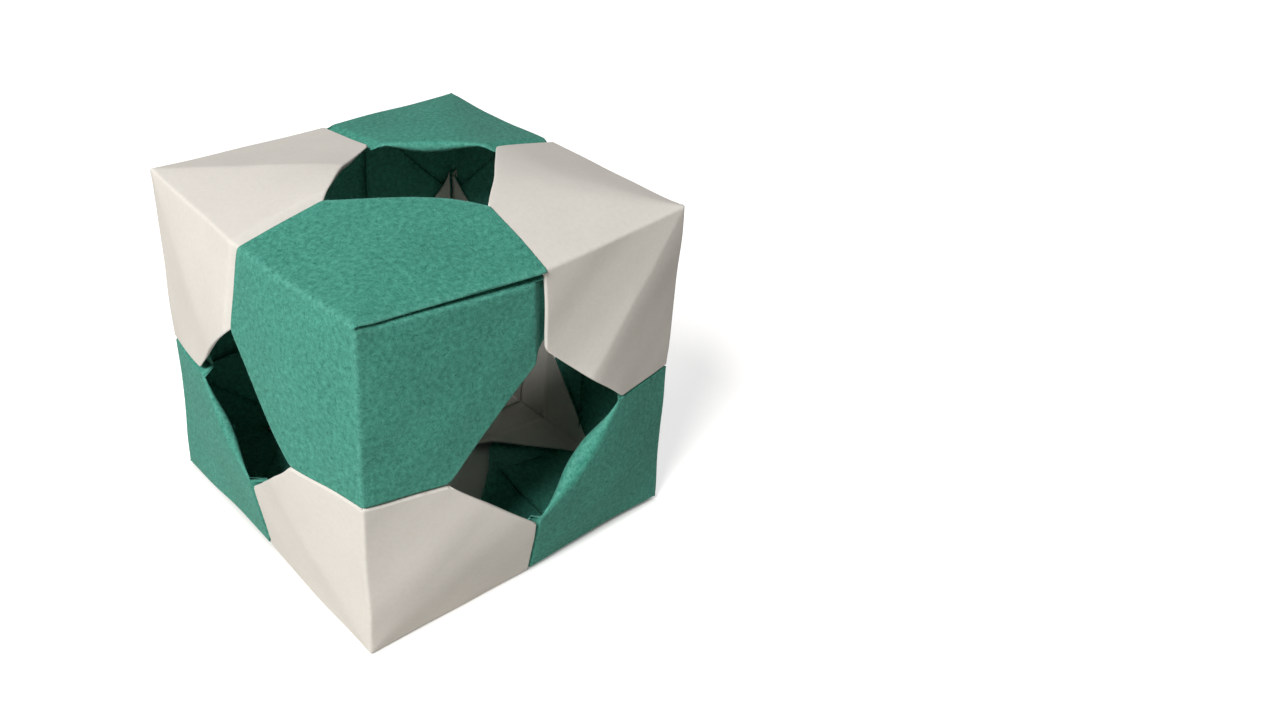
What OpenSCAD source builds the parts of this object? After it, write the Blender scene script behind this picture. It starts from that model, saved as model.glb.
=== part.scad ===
// Modular folded-paper cube: eight corner units, each folded from one paper square.
// Four units are green and four are cream, so neighbours along an edge always differ.
// Every face shows four unit panels round a diamond window that opens into the hollow cube.
// The springy layers at the joints push the panels out, so a face swells towards its window.
//
// How one square becomes a corner unit, measured from the middle of the sheet:
// the four corners fold to the middle, and their points fold back out to the rim.
// The middle of the sheet becomes a cube corner and three of its quarters become faces.
// The fourth quarter is a pleat that lies behind one face and leaves a slit along an edge.
// Along each cube edge one unit's pointed tip tucks into its neighbour, and the
// neighbour's own tip is turned back inside, which gives the straight joint across the edge.

/* [Paper] */
// Side of each paper square before folding
sheet_side = 105; // [90:1:130]
// Thickness of the paper
paper = 0.2; // [0.14:0.01:0.24]
// Air between two layers that are pressed together
layer_gap = 0.04; // [0.02:0.01:0.06]

/* [Folds] */
// How far the middle of a window's rim stands out from a true cube's face
face_swell = 3.25; // [0:0.25:4]
// Length of the pointed tip that tucks into a neighbour or is turned back
tab_length = 17.5; // [14:0.5:20]
// Length over which a tucked tip drops below its neighbour's edge
dive_length = 5; // [3:0.5:6]
// Outer radius of the crease along a cube edge
crease_radius = 0.3; // [0.15:0.05:0.35]
// Width of the slit beside the pleat
pleat_slit = 0.4; // [0.2:0.05:0.6]
// Slit between the raw edges of two inner flaps, and in the mitre of a turned-back tip
flap_slit = 0.12; // [0.06:0.02:0.2]
// Clearance between a tucked tip and the turned-back tip above it
tuck_clearance = 0.05; // [0.03:0.01:0.1]

/* [Colours] */
// Paper colour of the four green units
green_paper = "#4DA58A"; // ["#4DA58A", "#3C8A70", "#5A86B0"]
// Paper colour of the four cream units
cream_paper = "#DDD5CE"; // ["#DDD5CE", "#F2EDE4", "#E8C9A0"]

/* [Hidden] */

// Middle of the sheet to the middle of one of its sides
half_sheet = sheet_side / 2;
// Cube corner to the joint across an edge, so half the cube's side
join = half_sheet - tab_length;
cube_side = 2 * join;
// Along an edge, where the point of a turned-back or tucked tip lies
tip_reach = join - tab_length;
// One layer of paper and the air under it
pitch = paper + layer_gap;
// A flap's point folds back out at half its height and then touches the rim
return_crease = half_sheet / 2;
// Each half of a face leans outwards from its cube edge, up to the crease on the face's diagonal
swell_angle = atan(face_swell / return_crease);

// Depth of each layer's outer side below the cube's face
flap_depth = pitch;
return_depth = 2 * pitch;
tip_depth = 3 * pitch;
// Thickness of an outer panel and the flap folded under it
double_sheet = pitch + paper;
// The turned-back tip is such a double sheet, and the tucked tip passes under it
tip_inner_depth = tip_depth + double_sheet;
tuck_depth = tip_inner_depth + tuck_clearance;
// The turned-back fold is round, and the second layer turns inside the first
fold_radius = tip_inner_depth / 2;
inner_fold_radius = fold_radius - pitch;

// Where a tucked tip starts to drop, and where it has reached its depth
dive_end = join - paper;
dive_start = dive_end - dive_length;

// A crease of thickness paper, measured along the face's own axes
skew = paper * sqrt(2);
// A unit's own faces, as the one that it rests on
XY_FACE = 0;
YZ_FACE = 1;
NONE = -1;
// Beyond the model, for cutting shapes
reach = cube_side;
margin = 6;

// The pleat's two plates, as depths below the face that hides them
pleat_near = tip_depth;
pleat_far = pleat_near + paper + pleat_slit;
pleat_inner = pleat_far + paper;

$fn = 48;

// Turns the x, y and z edges of a unit into each other, step by step
module next_edge(steps) {
    if (steps == 0)
        children();
    else
        rotate([90, 0, 90])
            next_edge(steps - 1)
                children();
}

// A unit's faces are 0, 1 and 2 for xy, yz and zx. The one that it rests on stays flat.
function lean(face, resting) = face % 3 == resting ? 0 : swell_angle;

// How far the two faces of an edge lean outwards: for the x edge, the xy face and the xz face
function leans(edge, resting) = [lean(edge, resting), lean(edge + 2, resting)];

// Direction of the mitre between the two faces of an edge, from the first face's true plane
function mitre_angle(leans) = 45 + (leans[1] - leans[0]) / 2;

// Leans a thing on the xy face outwards about the x edge
module leaned(angle) {
    rotate([-angle, 0, 0])
        children();
}

// Takes a thing from the xy face to the xz face
module on_xz_face() {
    mirror([0, 1, -1])
        children();
}

// Everything at least this deep below the two faces that meet along the x edge
module below_x_edge(depth, gives, leans) {
    intersection() {
        leaned(leans[0])
            below_xy_face(depth, gives);
        on_xz_face()
            leaned(leans[1])
                below_xy_face(depth, gives);
    }
}

// Everything at least this deep below a flat xy face, whose tip drops along x if it gives
module below_xy_face(depth, gives) {
    flat = [[-margin, depth], [reach, depth], [reach, reach], [-margin, reach]];
    diving = [
        [-margin, depth],
        [dive_start, depth],
        [dive_end, depth + tuck_depth],
        [reach, depth + tuck_depth],
        [reach, reach],
        [-margin, reach]
    ];
    translate([0, reach, 0])
        rotate([90, 0, 0])
            linear_extrude(2 * reach)
                polygon(gives ? diving : flat);
}

// Everything at least this deep below the unit's three faces
module below_faces(depth, gives, resting) {
    intersection() {
        next_edge(0) below_x_edge(depth, gives[0], leans(0, resting));
        next_edge(1) below_x_edge(depth, gives[1], leans(1, resting));
        next_edge(2) below_x_edge(depth, gives[2], leans(2, resting));
    }
}

// A layer on all three faces, from this depth inwards
module shell(depth, thickness, gives, resting) {
    difference() {
        below_faces(depth, gives, resting);
        below_faces(depth + thickness, gives, resting);
    }
}

// On each face, the triangle from the cube corner to a slanted line across the two edges
module corner_triangles(size, resting) {
    intersection() {
        next_edge(0) x_edge_triangles(size, leans(0, resting));
        next_edge(1) x_edge_triangles(size, leans(1, resting));
        next_edge(2) x_edge_triangles(size, leans(2, resting));
    }
}

module x_edge_triangles(size, leans) {
    intersection() {
        leaned(leans[0])
            corner_prism(size);
        on_xz_face()
            leaned(leans[1])
                corner_prism(size);
    }
}

module corner_prism(size) {
    translate([0, 0, -reach])
        linear_extrude(2 * reach)
            polygon([[-reach, -reach], [size + reach, -reach], [-reach, size + reach]]);
}

// The raw edges of neighbouring flaps leave a slit under each cube edge
module flap_slits(resting) {
    for (edge = [0 : 2])
        next_edge(edge)
            rotate([mitre_angle(leans(edge, resting)), 0, 0])
                translate([0, 0, -flap_slit / 2])
                    cube([half_sheet, tip_inner_depth * 2, flap_slit]);
}

// The sheet's corners, folded under the faces, with their points folded back out
module inner_flaps(gives, resting) {
    intersection() {
        shell(flap_depth, paper, gives, resting);
        difference() {
            corner_triangles(half_sheet - skew / 2, resting);
            corner_triangles(return_crease, resting);
        }
    }
    intersection() {
        shell(return_depth, paper, gives, resting);
        difference() {
            intersection() {
                translate([-margin, -margin, -margin])
                    cube(return_crease + margin);
                corner_triangles(half_sheet - skew / 2, resting);
            }
            corner_triangles(return_crease, resting);
        }
    }
    intersection() {
        shell(flap_depth, double_sheet, gives, resting);
        difference() {
            corner_triangles(return_crease + skew, resting);
            corner_triangles(return_crease, resting);
        }
    }
}

// The window rim, where the outer panel turns into the flap below it
module rims(gives, resting) {
    intersection() {
        shell(0, double_sheet, gives, resting);
        difference() {
            corner_triangles(half_sheet, resting);
            corner_triangles(half_sheet - skew, resting);
        }
    }
}

// Takes the corners off the rims, so that they are round folds
module rim_rounding(gives, resting) {
    for (edge = [0 : 2])
        next_edge(edge) {
            half_rim_rounding(gives[edge], leans(edge, resting)[0]);
            on_xz_face()
                half_rim_rounding(gives[edge], leans(edge, resting)[1]);
        }
}

// The half of the xy face's rim that lies by the x edge
module half_rim_rounding(gives, lean) {
    radius = double_sheet / 2;
    rim = half_sheet / sqrt(2);
    length = (2 * (gives ? dive_start : join) - half_sheet) / sqrt(2);
    intersection() {
        leaned(lean)
            rotate([0, 0, 45])
                translate([rim - radius, margin, radius])
                    rotate([90, 0, 0])
                        linear_extrude(margin + length)
                            difference() {
                                translate([0, -radius - layer_gap / 4])
                                    square([radius + margin, double_sheet + layer_gap / 2]);
                                circle(radius);
                            }
        // Mitre against the other half, in the upright plane through the face's diagonal
        translate([0, 0, -reach])
            linear_extrude(2 * reach)
                polygon([[0, 0], [reach, 0], [reach, reach]]);
    }
}

// Rounds the outside of the crease along each cube edge
module edge_rounding(gives, resting) {
    for (edge = [0 : 2])
        next_edge(edge)
            translate([-margin, 0, 0])
                rotate([90, 0, 90])
                    linear_extrude(margin + (gives[edge] ? dive_start : join))
                        rotate(mitre_angle(leans(edge, resting)))
                            outside_of_crease((90 + leans(edge, resting) * [1, 1]) / 2);
}

// What a round crease takes off a sharp one, whose two sides lie half_angle off the x axis
module outside_of_crease(half_angle) {
    centre = crease_radius / sin(half_angle);
    overshoot = 1.5 * crease_radius;
    side = [centre - overshoot * sin(half_angle), overshoot * cos(half_angle)];
    difference() {
        polygon([[centre, 0], side, [-crease_radius, 0], [side.x, -side.y]]);
        translate([centre, 0])
            circle(crease_radius);
    }
}

// The straight fold of a turned-back tip, on the xy face
module face_fold(leans) {
    intersection() {
        leaned(leans[0])
            translate([0, tab_length, 0])
                rotate([90, 0, 0])
                    linear_extrude(tab_length)
                        translate([join - fold_radius, fold_radius])
                            fold_profile();
        // Mitre against the same fold on the neighbouring face, with a slit between the two
        rotate([mitre_angle(leans), 0, 0])
            translate([0, -reach, -reach - flap_slit / 2])
                cube([reach, 2 * reach, reach]);
    }
}

// Two layers that turn round a half circle. They run on into the panel, as one sheet.
module fold_profile() {
    intersection() {
        translate([0, -fold_radius])
            square([fold_radius, 2 * fold_radius]);
        union() {
            ring(fold_radius);
            ring(inner_fold_radius);
        }
    }
    for (radius = [fold_radius, inner_fold_radius])
        translate([-fold_radius, -radius])
            square([fold_radius, paper]);
}

module ring(radius) {
    difference() {
        circle(radius);
        circle(radius - paper);
    }
}

// The x edge's two faces, from this depth inwards, as one angled layer
module angled_layer(depth, thickness, leans) {
    difference() {
        below_x_edge(depth, false, leans);
        below_x_edge(depth + thickness, false, leans);
    }
}

// The turned-back tip's pointed outline on the two faces of the x edge
module tip_outline(inset, leans) {
    intersection() {
        leaned(leans[0])
            tip_prism(tip_reach + inset);
        on_xz_face()
            leaned(leans[1])
                tip_prism(tip_reach + inset);
    }
}

module tip_prism(start) {
    end = join - fold_radius;
    linear_extrude(reach)
        polygon([[start - margin, -margin], [end, -margin], [end, end - start]]);
}

// A tip that is turned back inside at the joint, ready to hold a neighbour's tip
module turned_back_tip(leans) {
    difference() {
        intersection() {
            angled_layer(tip_depth, double_sheet, leans);
            tip_outline(0, leans);
        }
        intersection() {
            angled_layer(tip_depth + paper, layer_gap, leans);
            tip_outline(skew, leans);
        }
    }
    face_fold(leans);
    on_xz_face()
        face_fold([leans[1], leans[0]]);
}

// End of the pleat along its edge, clear of the tips
function pleat_end(gives) = (gives[0] ? dive_start : tip_reach) - 2 * paper;

// The fourth quarter of the sheet, folded on its diagonal behind the xz face
module pleat(gives, resting) {
    end = pleat_end(gives);
    rim = half_sheet - 2 * skew;
    foot = [[0, 0], [0, -margin], [end, -margin]];
    outline = end > rim / 2
        ? concat(foot, [[end, rim - end], [rim / 2, rim / 2]])
        : concat(foot, [[end, end]]);
    intersection() {
        below_faces(0, gives, resting);
        union() {
            for (depth = [pleat_near, pleat_far])
                standing_plate(depth, paper)
                    polygon(outline);
            standing_plate(pleat_near, pleat_inner - pleat_near)
                intersection() {
                    polygon(outline);
                    polygon([[0, 0], [skew, 0], [reach, reach - skew], [reach, reach]]);
                }
        }
    }
}

module standing_plate(depth, thickness) {
    translate([0, depth + thickness, 0])
        rotate([90, 0, 0])
            linear_extrude(thickness)
                children();
}

// The slit that the pleat leaves in the xy face
module pleat_opening(gives) {
    start = pleat_inner;
    translate([start, pleat_near + paper, -margin])
        cube([pleat_end(gives) - start - paper, pleat_slit, margin + flap_depth]);
}

// Room for the pleat among the inner flaps
module pleat_room(gives) {
    cube([pleat_end(gives) + layer_gap, pleat_inner + layer_gap, tip_depth - layer_gap]);
}

// A receiving tip ends at its round fold, and a giving tip runs to its point
module arm_limits(gives) {
    limit = [for (edge = [0 : 2]) gives[edge] ? reach : join - fold_radius];
    translate([-margin, -margin, -margin])
        cube(limit + [margin, margin, margin]);
}

// One folded sheet with its cube corner at the origin and its edges along x, y and z.
// gives says for each edge whether the tip tucks into the neighbour there.
// resting is the face that the cube stands on, or none.
module corner_unit(gives, resting = NONE) {
    difference() {
        union() {
            intersection() {
                arm_limits(gives);
                union() {
                    intersection() {
                        shell(0, paper, gives, resting);
                        corner_triangles(half_sheet, resting);
                    }
                    rims(gives, resting);
                    difference() {
                        inner_flaps(gives, resting);
                        flap_slits(resting);
                        pleat_room(gives);
                    }
                }
            }
            for (edge = [0 : 2])
                if (!gives[edge])
                    next_edge(edge)
                        turned_back_tip(leans(edge, resting));
            pleat(gives, resting);
        }
        rim_rounding(gives, resting);
        edge_rounding(gives, resting);
        pleat_opening(gives);
    }
}

// Stands a unit's cube corner at a corner of the cube, turned so that its pleat's
// slit runs along its own x edge. side is -1 or 1 along x and y, level is 0 or 1.
module at_corner(side_x, side_y, level, turn) {
    translate([side_x * join, side_y * join, level * cube_side])
        rotate(turn)
            children();
}

module green_corner_top_front() {
    color(green_paper)
        at_corner(-1, -1, 1, [-90, 0, 0])
            corner_unit([true, false, false]);
}

module green_corner_top_back() {
    color(green_paper)
        at_corner(1, 1, 1, [-90, 0, 180])
            corner_unit([true, false, true]);
}

module green_corner_bottom_left() {
    color(green_paper)
        at_corner(-1, 1, 0, [0, 0, -90])
            corner_unit([true, false, true], XY_FACE);
}

module green_corner_bottom_right() {
    color(green_paper)
        at_corner(1, -1, 0, [0, -90, 0])
            corner_unit([true, false, true], YZ_FACE);
}

module cream_corner_top_left() {
    color(cream_paper)
        at_corner(-1, 1, 1, [90, 90, 0])
            corner_unit([false, false, true]);
}

module cream_corner_top_right() {
    color(cream_paper)
        at_corner(1, -1, 1, [-90, 0, 90])
            corner_unit([false, false, false]);
}

module cream_corner_bottom_front() {
    color(cream_paper)
        at_corner(-1, -1, 0, [0, 0, 0])
            corner_unit([false, false, true], XY_FACE);
}

module cream_corner_bottom_back() {
    color(cream_paper)
        at_corner(1, 1, 0, [90, -90, 0])
            corner_unit([true, true, true], YZ_FACE);
}

green_corner_top_front();
green_corner_top_back();
green_corner_bottom_left();
green_corner_bottom_right();
cream_corner_top_left();
cream_corner_top_right();
cream_corner_bottom_front();
cream_corner_bottom_back();
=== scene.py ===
# %% [markdown]
# # A windowed cube folded from eight paper squares
# The real object is an open cube of modular origami. Eight squares of paper, four green and
# four cream, are folded into eight corner units. Nothing is glued: pointed tips tuck into the
# neighbouring units. This lesson folds each flat square in code, crease by crease, the way the
# hands do it, because then every rim, flap, slit and tucked tip comes out where paper has it.

# %% Load the fixed frame and the tools
import math

import bpy
import numpy as np
from mathutils import Matrix, Vector
from mathutils.geometry import delaunay_2d_cdt


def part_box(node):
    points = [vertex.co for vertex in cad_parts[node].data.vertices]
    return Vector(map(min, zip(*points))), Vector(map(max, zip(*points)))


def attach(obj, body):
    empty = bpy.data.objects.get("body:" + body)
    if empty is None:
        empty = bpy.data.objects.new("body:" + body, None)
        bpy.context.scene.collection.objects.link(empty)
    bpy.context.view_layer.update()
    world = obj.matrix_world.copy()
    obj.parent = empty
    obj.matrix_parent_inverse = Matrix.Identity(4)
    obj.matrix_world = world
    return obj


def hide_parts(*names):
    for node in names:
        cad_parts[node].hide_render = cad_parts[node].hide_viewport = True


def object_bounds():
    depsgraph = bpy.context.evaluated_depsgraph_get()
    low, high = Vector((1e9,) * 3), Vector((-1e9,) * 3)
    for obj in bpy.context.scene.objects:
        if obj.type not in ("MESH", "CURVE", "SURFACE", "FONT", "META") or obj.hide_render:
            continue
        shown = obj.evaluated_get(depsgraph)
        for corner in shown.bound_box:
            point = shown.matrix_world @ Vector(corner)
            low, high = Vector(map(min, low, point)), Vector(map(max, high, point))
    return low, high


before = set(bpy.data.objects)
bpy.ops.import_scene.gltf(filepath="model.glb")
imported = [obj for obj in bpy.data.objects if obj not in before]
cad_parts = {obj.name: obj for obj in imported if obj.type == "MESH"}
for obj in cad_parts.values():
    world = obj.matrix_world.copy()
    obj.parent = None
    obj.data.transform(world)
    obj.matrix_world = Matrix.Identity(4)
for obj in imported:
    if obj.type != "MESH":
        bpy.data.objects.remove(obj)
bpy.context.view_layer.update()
MM = 0.001
# A top unit that only receives tips ends at the joints, half way up the cube
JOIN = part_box("cream_corner_top_right")[0].z / MM
SIDE = 2 * JOIN
# A third of the half sheet is tip, beyond the joint
HALF_SHEET = 1.5 * JOIN
print(f"sheet {2 * HALF_SHEET:.1f} mm, cube side {SIDE:.1f} mm, {len(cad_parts)} folded sheets")

# %% [markdown]
# ## The camera
# The photo looks down on the cube's nearest corner from about a quarter of a metre. The view was
# solved by a separate least-squares script, from the seven visible corners and nine edge middles
# of the cube. The picture is 1280 by 720, and its centre lies to the right of the cube, so the
# camera aims past the cube instead of using shift.

# %% Camera
CAMERA_AT = Vector((-113.4, -169.5, 166.5)) * MM
LOOK_ALONG = Vector((0.6057, 0.5778, -0.5471)).normalized()
CAMERA_ROLL = math.radians(5.16)
LENS = 33.44

camera_data = bpy.data.cameras.new("photo_camera")
camera_data.lens = LENS
camera_data.sensor_width = 36
camera_data.clip_start = 0.01
camera = bpy.data.objects.new("photo_camera", camera_data)
bpy.context.scene.collection.objects.link(camera)
turn = LOOK_ALONG.to_track_quat("-Z", "Y").to_matrix() @ Matrix.Rotation(CAMERA_ROLL, 3, "Z")
camera.matrix_world = Matrix.Translation(CAMERA_AT) @ turn.to_4x4()
bpy.context.scene.camera = camera
print("camera stands", round((CAMERA_AT - Vector((0, 0, SIDE / 2 * MM))).length, 3), "m from the cube")

# %% [markdown]
# ## The flat square and its creases
# A fold is smooth only where the mesh has lines along it, so the flat square is triangulated
# round its creases: two middle lines, the slanted rims, the line where each flap's point turns
# back, and the straight joints where tips are turned in or tucked. A constrained Delaunay
# triangulation takes points and lines in any order, and is simpler than a grid here, because
# the creases run both along the sides and along the diagonals.

# %% Sizes of the folded sheet, in millimetres
PAPER = 0.2
# Distances from the sheet's middle, along its diagonals
RIM = HALF_SHEET / math.sqrt(2)
TIGHT_RIM = 0.34
RETURN_RADIUS = 0.12
RETURN_LENGTH = math.pi * RETURN_RADIUS
TIP_RADIUS = 0.38
TIP_START = JOIN - TIP_RADIUS
# Spacing of the points along a crease and between the creases
LINE_STEP = 1.4
FILL_STEP = 1.5
# Mesh lines that let each fold bend smoothly, as distances from it
BESIDE_RIM = (-3.6, -2.7, -2.0, -1.3, 1.3, 2.0, 2.7, 3.6)
BESIDE_FLAP_EDGE = (0.0, 0.5, 1.1, 2.2)
BESIDE_CUBE_EDGE = (0.0, 0.2, 0.45, 0.75, 1.3, 2.2, 4.0)
BEFORE_JOINT = (2.6, 2.0, 1.6, 1.3, 1.0, 0.85, 0.7, 0.5)
print(f"the rim lies {RIM:.1f} mm from the sheet's middle, and a joint {JOIN:.1f} mm")

# %% Crease lines of one quarter, as flat segments
def diagonal_line(w):
    """Ends of the line u + v = w * sqrt(2) inside one quarter of the sheet."""
    reach = min(w, math.sqrt(2) * HALF_SHEET - w)
    return [((w - t) / math.sqrt(2), (w + t) / math.sqrt(2)) for t in (-reach, reach)]


def return_crease(rim_radius):
    """Where a flap's point turns back, so that it ends just inside the rolled rim."""
    return 2 * RIM - HALF_SHEET / 2 / math.sqrt(2) + 0.8 * rim_radius


def quarter_lines(rim_radius):
    """Every crease and bending line of a quarter, as pairs of points on the flat sheet."""
    lines = [diagonal_line(RIM + w) for w in BESIDE_RIM]
    lines += [diagonal_line(RIM + w) for w in np.linspace(-math.pi / 2, math.pi / 2, 8) * TIGHT_RIM]
    # A springy rim rolls more widely than its tight ends
    lines += [diagonal_line(RIM + w * rim_radius) for w in (-1.57, -0.8, 0.8, 1.57)]
    lines += [diagonal_line(return_crease(rim_radius) + RETURN_LENGTH * f) for f in (0, 0.5, 1)]
    for offset in BESIDE_FLAP_EDGE:
        slant = offset * math.sqrt(2)
        lines.append([(slant, 0.0), (HALF_SHEET, HALF_SHEET - slant)])
        lines.append([(0.0, slant), (HALF_SHEET - slant, HALF_SHEET)])
    inner = math.sqrt(2) * (RIM - math.pi / 2 * TIGHT_RIM)
    # The crease on the diagonal, and a line on each side of it
    for across, along in ((0.0, 0.0), (0.6, 0.0), (0.0, 0.6)):
        lines.append([(across, along), ((inner + across - along) / 2, (inner - across + along) / 2)])
    for offset in BESIDE_CUBE_EDGE:
        lines.append([(0.0, offset), (inner - offset, offset)])
        lines.append([(offset, 0.0), (offset, inner - offset)])
    # Where a tip drops below its neighbour, and the half circle of a tip that is turned in
    folds = [JOIN - w for w in BEFORE_JOINT]
    folds += list(TIP_START + math.pi * TIP_RADIUS * np.linspace(0, 1.2, 7))
    outer = math.sqrt(2) * (RIM + math.pi / 2 * TIGHT_RIM)
    for at in folds:
        flap = math.sqrt(2) * RIM - at
        for a, b in (((at, 0.0), (at, inner - at)), ((outer - flap, flap), (HALF_SHEET, flap))):
            lines.append([a, b])
            lines.append([a[::-1], b[::-1]])
    return lines


print(len(quarter_lines(TIGHT_RIM)), "crease and bending lines in each quarter")

# %% Triangulate the square
def quarter_to_sheet(u, v, quarter):
    """A quarter's own coordinates, turned to its place on the sheet."""
    return ((u, v), (-v, u), (-u, -v), (v, -u))[quarter]


def flat_square(rim_radius):
    """The unfolded sheet's points and triangles, with edges along every crease."""
    points, edges = [], []
    rng = np.random.default_rng(7)
    for quarter in range(4):
        for (u0, v0), (u1, v1) in quarter_lines(rim_radius):
            steps = max(1, round(math.hypot(u1 - u0, v1 - v0) / LINE_STEP))
            for i in range(steps + 1):
                f = i / steps
                at = quarter_to_sheet(u0 + (u1 - u0) * f, v0 + (v1 - v0) * f, quarter)
                points.append(at)
                if i:
                    edges.append((len(points) - 2, len(points) - 1))
    count = int(2 * HALF_SHEET / FILL_STEP)
    fill = np.stack(np.meshgrid(np.arange(count), np.arange(count)), -1).reshape(-1, 2) + 0.5
    fill = fill / count * 2 * HALF_SHEET - HALF_SHEET + rng.uniform(-0.3, 0.3, fill.shape)
    points += [tuple(p) for p in fill]
    points += [(sx * HALF_SHEET, sy * HALF_SHEET) for sx in (-1, 1) for sy in (-1, 1)]
    corners = [Vector(p) for p in points]
    result = delaunay_2d_cdt(corners, edges, [], 0, 0.02)
    return np.array([v[:] for v in result[0]]), np.array(result[2])


print("flat square:", len(flat_square(TIGHT_RIM)[0]), "points")

# %% [markdown]
# ## Folding the square
# Each step of the folding is a small function that moves points: the four corners fold to the
# middle over a rounded rim, and their points fold back out. Depth is counted inwards from the
# cube's face. Then the tips are turned in or tucked, and last the quarters are set at right
# angles to each other. A fold is a half circle, and its paper is never stretched much.

# %% Corners to the middle, and their points back to the rim
FLAP_DEPTH = 0.45


def smooth(edge0, edge1, x):
    f = np.clip((x - edge0) / (edge1 - edge0), 0, 1)
    return f * f * (3 - 2 * f)


def fold_corners(u, v, rim_radius):
    """Folds a quarter's outer half under its inner half. Gives the place on the face and the depth.

    w runs along the quarter's diagonal, across the rim, and t along the rim.
    """
    w = (u + v) / math.sqrt(2)
    t = (v - u) / math.sqrt(2)
    # The rim is tight at its ends, where the joints hold it, and springs open between them
    ends = (2 * JOIN - HALF_SHEET) / math.sqrt(2)
    radius = TIGHT_RIM + (rim_radius - TIGHT_RIM) * np.clip(1 - (t / ends) ** 2, 0, 1) ** 1.5
    flat_end = RIM - math.pi * radius / 2
    s = w - flat_end
    angle = np.clip(s / radius, 0, np.pi)
    back = np.clip(s - np.pi * radius, 0, None)
    place = np.where(s > 0, flat_end + radius * np.sin(angle) - back, w)
    # The flap's point turns back out towards the rim, and lies on the flap
    turn_at = return_crease(rim_radius)
    second = np.pi * np.clip((w - turn_at) / RETURN_LENGTH, 0, 1)
    out = np.clip(w - turn_at - RETURN_LENGTH, 0, None)
    place = np.where(second > 0, 2 * RIM - turn_at - RETURN_RADIUS * np.sin(second) + out, place)
    back = np.where(second > 0, np.clip(flat_end - place, 0, None), back)
    # Behind the rim the flap springs away from the panel, less and less
    depth = FLAP_DEPTH + (2 * radius - FLAP_DEPTH) * (1 + back / 3) * np.exp(-back / 3)
    depth = np.where(angle < np.pi, radius * (1 - np.cos(angle)), depth)
    depth += RETURN_RADIUS * (1 - np.cos(second)) + 0.01 * out
    return (place - t) / math.sqrt(2), (place + t) / math.sqrt(2), depth


flap_middle = np.array([HALF_SHEET * 0.6])
_, _, behind = fold_corners(flap_middle, flap_middle, TIGHT_RIM)
print(f"a flap lies {behind[0]:.2f} mm behind its panel")

# %% Tips turned in, tucked under the neighbour, or lapped over it
TUCK_DEPTH = 1.15
# A joint presses the layers together over this length before it
PRESSED_LENGTH = 9
# The lapped tip turns in more tightly, past the joint, and lies over its neighbour
LAP_RADIUS = 0.24
LAP = 0.5
LAP_LIFT = 0.35


def press(along, depth):
    """Brings the layers closer together towards a joint."""
    return depth * (1 - 0.5 * smooth(JOIN - PRESSED_LENGTH, JOIN - 1, along))


def tuck_tip(along, depth, dive):
    """Drops a tip below the neighbour's edge, softly or with a steep dive."""
    depth = press(along, depth)
    if dive:
        before, length, drop = dive
        return along, depth + drop * np.clip((along - JOIN + before) / length, 0, 1) ** 0.8
    return along, depth + TUCK_DEPTH * smooth(JOIN - 2.6, JOIN + 0.2, along)


def turn_tip(along, depth, radius=TIP_RADIUS, lap=0.0, lift=0.0):
    """Turns a tip back inside at the joint. A lapped one reaches over the neighbour first."""
    depth = press(along, depth)
    rise = lift * smooth(JOIN - 12, JOIN, along)
    start = JOIN + lap - radius
    s = np.clip(along - start, 0, None)
    angle = np.clip(s / radius, 0, np.pi)
    inside = np.clip(s - np.pi * radius, 0, None)
    arm = np.maximum(radius - depth, 0.02)
    new_along = np.where(s > 0, start + arm * np.sin(angle) - inside, along)
    new_depth = np.where(s > 0, radius - arm * np.cos(angle), depth)
    return new_along, new_depth - rise


tip_end = np.array([HALF_SHEET])
print(f"a turned-in tip ends {turn_tip(tip_end, 0 * tip_end)[0][0]:.1f} mm from the cube's corner")

# %% Right angles along the cube's edges
# Hidden layers follow the rounding of the edge over this length
EDGE_FADE = 4.0
EDGE_RADIUS = {"green": 0.75, "cream": 0.5}


def round_corner(u, v, depth, radius):
    """Place of a face's point on a cube with round edges and corners, as along u, v and inwards."""
    cu, cv = np.maximum(u, radius), np.maximum(v, radius)
    way = np.stack([u - cu, v - cv, np.full_like(u, -radius)], -1)
    way *= radius / np.linalg.norm(way, axis=-1, keepdims=True)
    base = np.stack([cu, cv, np.full_like(u, radius)], -1) + way
    fade_u, fade_v = (np.clip(1 - x / EDGE_FADE, 0, 1) ** 2 for x in (u, v))
    return base + depth[:, None] * np.stack([fade_u, fade_v, np.ones_like(u)], -1)


print("the edges are rounded to", EDGE_RADIUS, "mm")

# %% [markdown]
# ## The eight units
# Every sheet is folded the same way, and then stood at its own corner of the cube. What differs
# is where its pleat's slit runs, along the first of its edges, and along which edges its tips
# tuck into the neighbour. At the other edges it receives a neighbour's tip under its own
# turned-in one. Green and cream alternate, so every edge joins one of each.

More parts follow.
